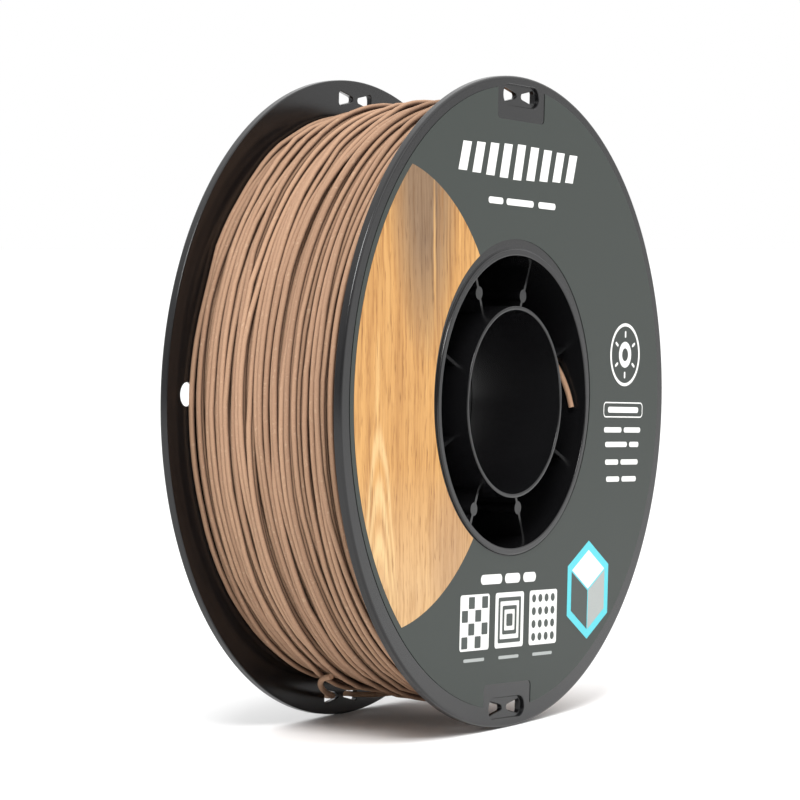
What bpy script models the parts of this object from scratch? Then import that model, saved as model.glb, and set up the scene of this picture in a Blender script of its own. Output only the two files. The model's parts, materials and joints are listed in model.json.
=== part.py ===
"""A 1 kg filament spool lying in its own frame: origin at its centre, axis along Y, +Z up.

The printed face looks towards -Y. Sizes are in millimetres and are turned into metres by MM.
"""

import bmesh
import bpy
import numpy as np
from mathutils import Matrix, Vector

MM = 0.001
GAP = 0.3  # air left between pieces that touch

FLANGE_D = 200.0  # across the rims
FACE_Y = 31.4  # mid-plane to the outer face of a flange
FLANGE_T = 2.6  # flange thickness
RIM_ROUND = 0.75  # rounding of the rim's outer corner
BORE_D = 56.6  # clear hole through the hub, for the printer's spindle
TUBE_WALL = 1.2
TUBE_END_Y = FACE_Y + 0.6  # the hub tube stands a little proud of the face
POCKET_D = 90.0  # inside of the barrel, and the opening in each face
BARREL_WALL = 2.0
LIP_W, LIP_H = 2.1, 0.8  # raised lip round the opening in each face
TURN = -2.7  # degrees the moulding is turned about the axis, as it stands

RIBS = 8
RIB_T = 1.1
RIB_TOP_Y = FACE_Y - 5.4  # the ribs stop below the face
PAD_D = 4.1  # round ejector pads on four of the ribs
PAD_R = 0.6 * (BORE_D / 2 + TUBE_WALL) + 0.4 * POCKET_D / 2
PAD_RIBS = (1, 2, 5, 6)

STRAND_D = 1.75
WIND_REAR, WIND_FRONT = FLANGE_D / 2 - 11.0, FLANGE_D / 2 - 8.6  # the winding's radius at the flanges
WIND_RISE = 2.2  # how far its middle stands above the line between them

SLOT_R = FLANGE_D / 2 - 6.0  # radius of the strand-holding slots
SLOT_NEAR, SLOT_FAR = 1.45, 9.5  # ends of a slot from the middle of its pair
SLOT_NARROW, SLOT_WIDE = 1.8, 4.4
POCKET_LEN, POCKET_H, POCKET_DEEP = 2 * SLOT_FAR + 3.0, SLOT_WIDE + 2.1, 0.9
ROUND_HOLE_R, ROUND_HOLE_D = FLANGE_D / 2 - 10.7, 7.2  # one round hole, rear flange only
ROUND_HOLE_SPOT_D, ROUND_HOLE_DEEP = 13.0, 1.6  # sunk round the hole on the outer face
TAIL_ANGLE, TAIL_Y = 14.5, 9.9 - FACE_Y  # where the barrel is drilled for the strand's inner end
TAIL_HOLE_D = STRAND_D + 1.65

LABEL_D, LABEL_HOLE_D, LABEL_T = FLANGE_D - 8.8, POCKET_D + 7.4, 0.2
LABEL_SHIFT = (0.3, 1.3)  # the label is stuck on a little off the axis
# The label is cut away round each slot pair.
NOTCH_W, NOTCH_IN, NOTCH_ROUND = POCKET_LEN + 7.2, SLOT_R - 7.7, 1.6

ROUND_STEPS = 112  # a multiple of 4, so that the rims rest on a flat


def wipe():
    for ob in list(bpy.data.objects):
        bpy.data.objects.remove(ob, do_unlink=True)


def collection(name, helper=False):
    made = bpy.data.collections.new(name)
    made.hide_render = helper
    bpy.context.scene.collection.children.link(made)
    return made


def material(name, colour, rough, metallic=0.0):
    mat = bpy.data.materials.new(name)
    mat.use_nodes = True
    mat.diffuse_color = (*colour, 1.0)
    shader = mat.node_tree.nodes["Principled BSDF"]
    shader.inputs["Base Color"].default_value = (*colour, 1.0)
    shader.inputs["Roughness"].default_value = rough
    shader.inputs["Metallic"].default_value = metallic
    return mat


def add(name, mesh, mat=None, cutter=False):
    ob = bpy.data.objects.new(name, mesh)
    (HELPERS if cutter else SPOOL).objects.link(ob)
    if cutter:
        ob.hide_render = True
        ob.display_type = "WIRE"
    if mat:
        mesh.materials.append(mat)
    return ob


def smooth(ob, angle=30):
    for poly in ob.data.polygons:
        poly.use_smooth = True
    bpy.context.view_layer.objects.active = ob
    ob.select_set(True)
    bpy.ops.object.shade_smooth_by_angle(angle=np.radians(angle))
    ob.select_set(False)


def lathe(name, profile, mat=None, cutter=False, steps=ROUND_STEPS):
    """A closed (radius, y) outline, clockwise when radius runs right and y runs up, turned about Y.

    A flat, not an edge, faces each of +X, -X, +Z and -Z.
    """
    bm = bmesh.new()
    verts = [bm.verts.new((r * MM, 0.0, y * MM)) for r, y in profile]
    for a, b in zip(verts, verts[1:] + verts[:1]):
        bm.edges.new((a, b))
    mesh = bpy.data.meshes.new(name)
    bm.to_mesh(mesh)
    bm.free()
    ob = add(name, mesh, mat, cutter)
    turn = ob.modifiers.new("Turn", "SCREW")
    turn.axis = "Z"
    turn.steps = turn.render_steps = steps
    turn.use_merge_vertices = True
    turn.merge_threshold = 0.00001
    baked(ob)
    lay = Matrix.Rotation(np.pi / steps, 4, "Y") @ Matrix.Rotation(np.radians(-90), 4, "X")
    ob.data.transform(lay)
    return ob


def baked(ob):
    """The object with its modifiers made real, closed and facing outwards."""
    graph = bpy.context.evaluated_depsgraph_get()
    mesh = bpy.data.meshes.new_from_object(ob.evaluated_get(graph))
    ob.modifiers.clear()
    ob.data = mesh
    bm = bmesh.new()
    bm.from_mesh(mesh)
    bmesh.ops.remove_doubles(bm, verts=bm.verts, dist=1e-7)
    # A cut that just grazes an edge can leave a sliver open.
    bmesh.ops.holes_fill(bm, edges=[e for e in bm.edges if e.is_boundary], sides=4)
    bmesh.ops.recalc_face_normals(bm, faces=bm.faces)
    bm.to_mesh(mesh)
    bm.free()
    return ob


def prism(name, outline, y0, y1, mat=None, cutter=True):
    """An (x, z) outline stretched from y0 to y1."""
    bm = bmesh.new()
    base = [bm.verts.new((x * MM, y0 * MM, z * MM)) for x, z in outline]
    face = bm.faces.new(base)
    moved = bmesh.ops.extrude_face_region(bm, geom=[face])["geom"]
    verts = [v for v in moved if isinstance(v, bmesh.types.BMVert)]
    bmesh.ops.translate(bm, verts=verts, vec=(0.0, (y1 - y0) * MM, 0.0))
    bmesh.ops.recalc_face_normals(bm, faces=bm.faces)
    mesh = bpy.data.meshes.new(name)
    bm.to_mesh(mesh)
    bm.free()
    return add(name, mesh, mat, cutter)


def turned(outline, degrees):
    a = np.radians(degrees)
    c, s = np.cos(a), np.sin(a)
    return [(x * c - z * s, x * s + z * c) for x, z in outline]


def arc(cx, cz, r, start, end, steps):
    angles = np.radians(np.linspace(start, end, steps + 1))
    return [(cx + r * np.cos(a), cz + r * np.sin(a)) for a in angles]


def boolean(ob, others, operation):
    for k, other in enumerate(others):
        step = ob.modifiers.new(f"{operation.title()}_{k}", "BOOLEAN")
        step.operation = operation
        step.solver = "EXACT"
        step.object = other
    return baked(ob)


def rounded_box(cx, cz, w, h, r, steps=4):
    x, z = w / 2 - r, h / 2 - r
    return (
        arc(cx + x, cz + z, r, 0, 90, steps)
        + arc(cx - x, cz + z, r, 90, 180, steps)
        + arc(cx - x, cz - z, r, 180, 270, steps)
        + arc(cx + x, cz - z, r, 270, 360, steps)
    )


def slot(side):
    """Outline of one slot of a pair at the top: narrow end inwards, wide end outwards."""
    near, far = SLOT_NEAR + SLOT_NARROW / 2, SLOT_FAR - 1.0
    wide = SLOT_WIDE / 2 - 1.0
    outline = (
        arc(near, SLOT_R, SLOT_NARROW / 2, 100, 260, 5)
        + arc(far, SLOT_R - wide, 1.0, 275, 360, 4)
        + arc(far, SLOT_R + wide, 1.0, 0, 85, 4)
    )
    return [(side * x, z) for x, z in outline][::side]


def flange_profile():
    """Outline of the flange, lip and barrel of the half whose face looks towards +Y."""
    face, inner = FACE_Y, FACE_Y - FLANGE_T
    rim = FLANGE_D / 2 / np.cos(np.pi / ROUND_STEPS)  # puts the flats at the rim's radius
    opening, barrel = POCKET_D / 2, POCKET_D / 2 + BARREL_WALL
    lip = opening + LIP_W
    outer_corner = arc(rim - RIM_ROUND, face - RIM_ROUND, RIM_ROUND, 90, 0, 3)
    return (
        [(opening, GAP / 2), (opening, face + LIP_H - 0.3), (opening + 0.3, face + LIP_H)]
        + arc(lip - 0.5, face + LIP_H - 0.5, 0.5, 90, 0, 2)
        + [(lip, face)]
        + outer_corner
        + [(rim, inner + 0.3), (rim - 0.3, inner)]
        + arc(barrel + 0.8, inner - 0.8, 0.8, 90, 180, 2)
        + [(barrel, GAP / 2)]
    )


def slot_cutters(rear):
    """The pockets and through slots at the top and bottom of a flange."""
    made = []
    side = 1 if rear else -1
    where = "rear" if rear else "front"
    floor = FACE_Y - POCKET_DEEP
    for half_turn in (0, 180):
        outline = rounded_box(0, SLOT_R, POCKET_LEN, POCKET_H, POCKET_H / 2 - 0.01, 8)
        outline = turned(outline, TURN + half_turn)
        made.append(prism(f"pocket_{where}_{half_turn}", outline, side * floor, side * (FACE_Y + 2)))
        for end in (-1, 1):
            made.append(
                prism(
                    f"slot_{where}_{half_turn}_{end}",
                    turned(slot(end), TURN + half_turn),
                    side * (FACE_Y - FLANGE_T - 2),
                    side * (FACE_Y + 2),
                )
            )
    return made


def spool_half(name, rear, mat):
    """One moulding: flange, half of the barrel, half of the hub tube and the ribs between them."""
    side = 1 if rear else -1
    body = lathe(name, flange_profile(), mat)
    r = BORE_D / 2
    wall = r + TUBE_WALL
    tube = lathe(
        f"tube_{name}",
        [(r, GAP / 2), (r, TUBE_END_Y - 0.2), (r + 0.2, TUBE_END_Y), (wall - 0.2, TUBE_END_Y)]
        + [(wall, TUBE_END_Y - 0.2), (wall, GAP / 2)],
        cutter=True,
        steps=80,
    )
    joined = [tube]
    for k in range(RIBS):
        angle = TURN + (k + 0.5) * 360 / RIBS
        blade = [(wall - 0.5, -RIB_T / 2), (POCKET_D / 2 + 0.5, -RIB_T / 2)]
        blade += [(POCKET_D / 2 + 0.5, RIB_T / 2), (wall - 0.5, RIB_T / 2)]
        angle_here = angle if rear else 180 - angle
        joined.append(prism(f"rib_{name}_{k}", turned(blade, angle_here), GAP / 2, RIB_TOP_Y))
        if k in PAD_RIBS:
            pad = turned(arc(PAD_R, 0, PAD_D / 2, 0, 345, 23), angle_here)
            joined.append(prism(f"pad_{name}_{k}", pad, GAP / 2, RIB_TOP_Y))
    boolean(body, joined, "UNION")
    if not rear:
        body.data.transform(Matrix.Rotation(np.pi, 4, "Z"))
    cutters = slot_cutters(rear)
    if rear:
        a = np.radians(180 + TURN)
        at = (ROUND_HOLE_R * np.cos(a), ROUND_HOLE_R * np.sin(a))
        hole = arc(*at, ROUND_HOLE_D / 2, 0, 345, 23)
        cutters.append(prism("round_hole", hole, FACE_Y - FLANGE_T - 2, FACE_Y + 2))
        spot = arc(*at, ROUND_HOLE_SPOT_D / 2, 0, 350, 35)
        cutters.append(prism("round_hole_spot", spot, FACE_Y - ROUND_HOLE_DEEP, FACE_Y + 2))
    else:
        cutters.append(tail_drill())
    boolean(body, cutters, "DIFFERENCE")
    smooth(body)
    return body


def tail_drill():
    """Cutter for the hole through which the strand's inner end enters the hub pocket."""
    bm = bmesh.new()
    r = TAIL_HOLE_D / 2 * MM
    bmesh.ops.create_cone(bm, cap_ends=True, segments=20, radius1=r, radius2=r, depth=8 * MM)
    mesh = bpy.data.meshes.new("tail_drill")
    bm.to_mesh(mesh)
    bm.free()
    out = np.radians(TAIL_ANGLE)
    way = Vector((np.cos(out), 0.0, np.sin(out)))
    lay = way.to_track_quat("Z", "Y").to_matrix().to_4x4()
    middle = way * (POCKET_D / 2 + 1.0) + Vector((0, TAIL_Y, 0))
    mesh.transform(Matrix.Translation(middle * MM) @ lay)
    return add("tail_drill", mesh, cutter=True)


def winding(mat):
    """The wound strand as one turned ring, crowned and fuller towards the front."""
    inner = POCKET_D / 2 + BARREL_WALL + GAP
    half = FACE_Y - FLANGE_T - GAP
    ys = np.linspace(half, -half, 9)
    ends = np.interp(ys, (-half, half), (WIND_FRONT, WIND_REAR))
    outer = list(zip(ends + WIND_RISE * (1 - (ys / half) ** 2), ys))
    # The barrel has a fillet at each flange, so the ring's inner corners are cut back.
    ring = [(inner + 1.0, -half), (inner, -half + 1.0), (inner, half - 1.0), (inner + 1.0, half)] + outer
    ob = lathe("filament_winding", ring, mat)
    smooth(ob, 40)
    return ob


def label(mat):
    """The printed film on the front flange, notched round the slots."""
    cx, cz = LABEL_SHIFT
    y0, y1 = -FACE_Y - GAP / 2 - LABEL_T, -FACE_Y - GAP / 2
    disc = prism("front_label", arc(cx, cz, LABEL_D / 2, 0, 358, 179), y0, y1, mat, cutter=False)
    cuts = [prism("label_hole", arc(cx, cz, LABEL_HOLE_D / 2, 0, 357, 119), y0 - 1, y1 + 1)]
    for half_turn in (0, 180):
        tall = 2 * (SLOT_R - NOTCH_IN + 8)
        notch = rounded_box(0, NOTCH_IN + tall / 2, NOTCH_W, tall, NOTCH_ROUND, 5)
        cuts.append(prism(f"notch_{half_turn}", turned(notch, TURN + half_turn), y0 - 1, y1 + 1))
    return boolean(disc, cuts, "DIFFERENCE")


def smooth_path(knots, spacing):
    """Even points along a Catmull-Rom curve through the knots."""
    knots = np.array(knots, float)
    padded = np.vstack([2 * knots[0] - knots[1], knots, 2 * knots[-1] - knots[-2]])
    dense = []
    for a, b, c, d in zip(padded, padded[1:], padded[2:], padded[3:]):
        for t in np.linspace(0, 1, 24, endpoint=False):
            square, cube = 2 * a - 5 * b + 4 * c - d, 3 * b - a - 3 * c + d
            dense.append(0.5 * (2 * b + (c - a) * t + square * t**2 + cube * t**3))
    dense.append(knots[-1])
    dense = np.array(dense)
    run = np.concatenate([[0], np.cumsum(np.linalg.norm(np.diff(dense, axis=0), axis=1))])
    count = max(int(round(run[-1] / spacing)), 4)
    at = np.linspace(0, run[-1], count + 1)
    return np.stack([np.interp(at, run, dense[:, k]) for k in range(3)], 1)


def strand(name, knots, mat):
    """A round strand with flat cut ends along a smooth path."""
    path = smooth_path(knots, 1.3)
    curve = bpy.data.curves.new(name, "CURVE")
    curve.dimensions = "3D"
    curve.bevel_depth = STRAND_D / 2 * MM
    curve.bevel_resolution = 2
    curve.use_fill_caps = True
    line = curve.splines.new("POLY")
    line.points.add(len(path) - 1)
    for point, at in zip(line.points, path):
        point.co = (*(at * MM), 1.0)
    ob = bpy.data.objects.new(name, curve)
    SPOOL.objects.link(ob)
    curve.materials.append(mat)
    graph = bpy.context.evaluated_depsgraph_get()
    mesh = bpy.data.meshes.new_from_object(ob.evaluated_get(graph))
    bpy.data.objects.remove(ob, do_unlink=True)
    bm = bmesh.new()
    bm.from_mesh(mesh)
    bmesh.ops.remove_doubles(bm, verts=bm.verts, dist=1e-6)
    bmesh.ops.recalc_face_normals(bm, faces=bm.faces)
    bm.to_mesh(mesh)
    bm.free()
    made = add(name, mesh)
    smooth(made, 50)
    return made


def slot_middle(side):
    """Middle (x, z) of the lower slot on one side of its pair."""
    reach = (SLOT_NEAR + SLOT_FAR) / 2 + 0.4
    return turned([(side * reach, -SLOT_R)], TURN)[0]


def below(along, out, inwards):
    """A point near the lower slots.

    It is "along" round the slots' circle from straight down, "out" beyond that circle, and
    "inwards" of the rear face.
    """
    angle, r = along / SLOT_R, SLOT_R + out
    return (r * np.sin(angle), FACE_Y - inwards, -r * np.cos(angle))


def on_wall(degrees, clear, inwards):
    """A point in the front pocket: "clear" of its wall and "inwards" of the front face."""
    angle, r = np.radians(degrees), POCKET_D / 2 - clear
    return (r * np.cos(angle), inwards - FACE_Y, r * np.sin(angle))


wipe()
SPOOL = collection("filament_spool")
HELPERS = collection("helpers", helper=True)

BLACK = material("black_polymer", (0.035, 0.035, 0.038), 0.42)
FILAMENT = material("wood_filled_filament", (0.50, 0.30, 0.17), 0.75)
PRINT = material("printed_film", (0.10, 0.12, 0.11), 0.5)

spool_half("front_half", False, BLACK)
spool_half("rear_half", True, BLACK)
label(PRINT)
winding(FILAMENT)

right, left = slot_middle(1), slot_middle(-1)
back = FACE_Y + 0.2
strand(
    "filament_free_end",
    [
        below(24.82, -0.15, 28.4),
        below(15.54, 0.18, 19.9),
        below(6.97, 0.56, 10.9),
        (right[0] + 0.6, FACE_Y - 4.9, right[1] - 0.1),
        (right[0], back - 1.5, right[1]),
        (right[0] - 1.6, back + 1.6, right[1]),
        ((right[0] + left[0]) / 2, back + 2.8, (right[1] + left[1]) / 2),
        (left[0] + 1.6, back + 1.6, left[1]),
        (left[0], back - 1.5, left[1]),
        (left[0] - 3.2, FACE_Y - 5.2, left[1] + 0.6),
        below(-22.0, -0.5, 8.0),
        below(-30.8, -0.75, 11.6),
        below(-38.0, -0.7, 15.6),
        below(-42.8, -0.7, 19.6),
        below(-45.0, -0.6, 23.4),
    ],
    FILAMENT,
)

# The inner end comes in through the drilled hole and leans on the pocket's wall.
strand(
    "filament_inner_end",
    [
        on_wall(TAIL_ANGLE, -1.8, 9.9),
        on_wall(TAIL_ANGLE, 0.4, 9.7),
        on_wall(TAIL_ANGLE - 1.5, 1.5, 8.4),
        on_wall(7.4, 1.5, 6.5),
        on_wall(1.3, 1.5, 4.8),
        on_wall(-4.5, 1.4, 3.6),
    ],
    FILAMENT,
)
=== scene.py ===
"""Looks of the filament spool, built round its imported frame.

The spool's axis lies along Y and the printed face looks towards -Y. Lengths are in
millimetres and become metres through MM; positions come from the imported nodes' boxes.
"""

import json

import bmesh
import bpy
import numpy as np
from mathutils import Matrix, Vector

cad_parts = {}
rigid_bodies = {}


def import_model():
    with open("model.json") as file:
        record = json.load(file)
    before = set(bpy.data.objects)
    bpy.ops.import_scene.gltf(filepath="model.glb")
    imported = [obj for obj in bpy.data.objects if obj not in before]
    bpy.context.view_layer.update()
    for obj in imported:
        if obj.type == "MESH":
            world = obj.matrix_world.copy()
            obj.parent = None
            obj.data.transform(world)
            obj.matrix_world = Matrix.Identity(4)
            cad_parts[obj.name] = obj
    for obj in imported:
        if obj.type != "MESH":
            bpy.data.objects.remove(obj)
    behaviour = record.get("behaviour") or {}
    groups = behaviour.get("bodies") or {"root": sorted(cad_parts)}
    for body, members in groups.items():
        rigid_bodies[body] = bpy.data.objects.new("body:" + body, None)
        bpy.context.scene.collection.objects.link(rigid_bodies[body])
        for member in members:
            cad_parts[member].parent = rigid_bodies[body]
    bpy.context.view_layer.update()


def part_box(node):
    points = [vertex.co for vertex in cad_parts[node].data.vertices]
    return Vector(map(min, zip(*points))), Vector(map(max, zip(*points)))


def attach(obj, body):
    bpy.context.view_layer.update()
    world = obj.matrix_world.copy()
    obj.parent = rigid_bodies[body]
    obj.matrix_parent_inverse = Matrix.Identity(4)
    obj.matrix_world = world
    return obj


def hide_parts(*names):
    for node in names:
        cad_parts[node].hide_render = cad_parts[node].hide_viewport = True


for ob in list(bpy.data.objects):
    bpy.data.objects.remove(ob, do_unlink=True)

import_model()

MM = 0.001


def span(node):
    """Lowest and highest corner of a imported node, in millimetres."""
    low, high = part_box(node)
    return np.array(low) / MM, np.array(high) / MM


REAR_HIGH = span("rear_half")[1]
LABEL_LOW, LABEL_HIGH = span("front_label")

RIM_R = REAR_HIGH[0]
LIP_Y = REAR_HIGH[1]
LIP_W, LIP_H, LIP_ROUND = 2.1, 0.8, 0.5
FACE_Y = LIP_Y - LIP_H
FLANGE_T = 2.6
INNER_Y = FACE_Y - FLANGE_T
RIM_ROUND, RIM_INNER_ROUND = 0.75, 0.35
OPENING_R = 45.0
BARREL_R = 47.0
BARREL_FILLET = 0.8
TUBE_R, TUBE_WALL, TUBE_END_Y = 28.3, 1.2, 32.0
SEAM = 0.15  # half the gap between the two mouldings
TURN = -2.7

RIBS, RIB_T, RIB_TOP_Y = 8, 1.1, 26.0
PAD_RIBS, PAD_D, PAD_R = (1, 2, 5, 6), 4.1, 35.7

SLOT_R, SLOT_NEAR, SLOT_FAR = 94.0, 1.45, 9.5
SLOT_NARROW, SLOT_WIDE, SLOT_CORNER = 1.8, 4.4, 1.0
POCKET_LEN, POCKET_H, POCKET_DEEP = 22.0, 6.5, 0.9
ROUND_HOLE_R, ROUND_HOLE_D = 89.3, 7.2
ROUND_HOLE_SPOT_D, ROUND_HOLE_DEEP = 13.0, 1.6
TAIL_ANGLE, TAIL_Y, TAIL_HOLE_D = 14.5, -21.5, 3.4
EDGE = 0.18  # softened edge of a pocket or slot

LABEL_CENTRE = (0.3, 1.3)
LABEL_R = (LABEL_HIGH[0] - LABEL_LOW[0]) / 2
LABEL_HOLE_R = 48.7
LABEL_T = 0.12
LABEL_GAP = 0.04
NOTCH_W, NOTCH_IN, NOTCH_ROUND = 29.2, 86.3, 1.6

STRAND_R = 0.875
ROUND_STEPS = 288


# Materials


class Nodes:
    """A short way to write a shader's node tree."""

    def __init__(self, name):
        self.mat = bpy.data.materials.new(name)
        self.mat.use_nodes = True
        self.tree = self.mat.node_tree
        self.shader = self.tree.nodes["Principled BSDF"]

    def add(self, kind, inputs=(), **settings):
        node = self.tree.nodes.new(kind)
        for key, value in settings.items():
            setattr(node, key, value)
        for key, value in dict(inputs).items():
            self.put(node, key, value)
        return node

    def put(self, node, key, value):
        socket = node.inputs[key]
        if isinstance(value, bpy.types.NodeSocket):
            self.tree.links.new(value, socket)
        else:
            socket.default_value = value

    def coords(self, scale=(1.0, 1.0, 1.0)):
        place = self.add("ShaderNodeTexCoord").outputs["Object"]
        node = self.add("ShaderNodeMapping", {"Vector": place, "Scale": scale})
        return node.outputs["Vector"]

    def noise(self, vector, scale, detail=3.0, rough=0.55):
        inputs = {"Vector": vector, "Scale": scale, "Detail": detail, "Roughness": rough}
        return self.add("ShaderNodeTexNoise", inputs).outputs["Fac"]

    def math(self, operation, a, b=0.0, c=0.0, clamp=False):
        node = self.add("ShaderNodeMath", operation=operation, use_clamp=clamp)
        for key, value in enumerate((a, b, c)):
            self.put(node, key, value)
        return node.outputs[0]

    def ramp(self, value, stops):
        node = self.add("ShaderNodeValToRGB", {"Fac": value})
        ends = node.color_ramp.elements
        while len(ends) < len(stops):
            ends.new(0.5)
        for end, (at, colour) in zip(ends, stops):
            end.position = at
            end.color = (*colour, 1.0) if len(colour) == 3 else colour
        return node.outputs["Color"]

    def mix(self, fac, a, b, blend="MIX"):
        node = self.add("ShaderNodeMix", data_type="RGBA", blend_type=blend)
        self.put(node, 0, fac)
        self.put(node, 6, a)
        self.put(node, 7, b)
        return node.outputs[2]

    def bump(self, height, strength, distance, normal=None):
        inputs = {"Height": height, "Strength": strength, "Distance": distance}
        if normal is not None:
            inputs["Normal"] = normal
        return self.add("ShaderNodeBump", inputs).outputs["Normal"]

    def finish(self, **inputs):
        for key, value in inputs.items():
            self.put(self.shader, key.replace("_", " "), value)
        return self.mat


def black_plastic():
    """Black moulded polystyrene: satin, with fine grain, faint flow marks and a little dust."""
    n = Nodes("spool_plastic")
    at = n.coords()
    broad = n.noise(at, 18.0, 2.0)
    fine = n.noise(at, 900.0, 3.0)
    dust = n.noise(at, 2600.0, 2.0, 0.7)
    specks = n.ramp(dust, [(0.70, (0, 0, 0)), (0.78, (1, 1, 1))])
    base = n.mix(broad, (0.0030, 0.0030, 0.0034, 1), (0.0055, 0.0055, 0.0060, 1))
    base = n.mix(n.math("MULTIPLY", specks, 0.03), base, (0.25, 0.24, 0.23, 1))
    rough = n.math("MULTIPLY_ADD", broad, 0.10, 0.15)
    rough = n.math("MULTIPLY_ADD", fine, 0.06, rough)
    normal = n.bump(fine, 0.10, 0.00005)
    normal = n.bump(broad, 0.10, 0.0006, normal)
    return n.finish(Base_Color=base, Roughness=rough, Normal=normal, Specular_IOR_Level=0.38)


def filament_wood(name="filament_strand", dark=1.0):
    """Matte tan strand filled with wood flour: fine specks, a rough skin, slow changes of tone."""
    n = Nodes(name)
    at = n.coords()
    tone = n.add("ShaderNodeAttribute", attribute_name="tone").outputs["Fac"]
    specks = n.noise(at, 2300.0, 3.0, 0.65)
    fibres = n.noise(at, 700.0, 4.0, 0.6)
    slow = n.noise(at, 60.0, 2.0)
    light = tuple(c * dark for c in (0.390, 0.238, 0.150))
    deep = tuple(c * dark for c in (0.265, 0.155, 0.096))
    base = n.mix(tone, (*deep, 1), (*light, 1))
    base = n.mix(n.math("MULTIPLY", slow, 0.35), base, (*deep, 1))
    spot = n.ramp(specks, [(0.30, (1, 1, 1)), (0.44, (0, 0, 0))])
    base = n.mix(n.math("MULTIPLY", spot, 0.35), base, (0.16, 0.085, 0.045, 1))
    pale = n.ramp(fibres, [(0.58, (0, 0, 0)), (0.72, (1, 1, 1))])
    base = n.mix(n.math("MULTIPLY", pale, 0.25), base, (0.62, 0.46, 0.32, 1))
    # Painted shade: the flanks of the wound turns are darkened here, on top of the real shade in
    # the grooves.
    flank_shade = n.add("ShaderNodeAttribute", attribute_name="flank_shade").outputs["Fac"]
    flank_shade = n.ramp(flank_shade, [(0.16, (0, 0, 0)), (0.58, (1, 1, 1))])
    base = n.mix(flank_shade, base, (0.085, 0.045, 0.028, 1))
    height = n.math("MULTIPLY_ADD", specks, 0.6, fibres)
    normal = n.bump(height, 0.55, 0.00012)
    return n.finish(Base_Color=base, Roughness=0.82, Normal=normal, Specular_IOR_Level=0.3)


def label_film():
    """Satin film printed a dark grey-green, with the print's faint grain."""
    n = Nodes("label_film")
    at = n.coords()
    broad = n.noise(at, 14.0, 2.0)
    grain = n.noise(at, 3200.0, 2.0, 0.7)
    base = n.mix(broad, (0.019, 0.025, 0.021, 1), (0.024, 0.030, 0.026, 1))
    base = n.mix(n.math("MULTIPLY", grain, 0.20), base, (0.040, 0.048, 0.043, 1))
    rough = n.math("MULTIPLY_ADD", broad, 0.10, 0.40)
    normal = n.bump(grain, 0.08, 0.00003)
    normal = n.bump(n.noise(at, 55.0, 2.0), 0.05, 0.0004, normal)
    return n.finish(Base_Color=base, Roughness=rough, Normal=normal, Specular_IOR_Level=0.28)


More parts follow.
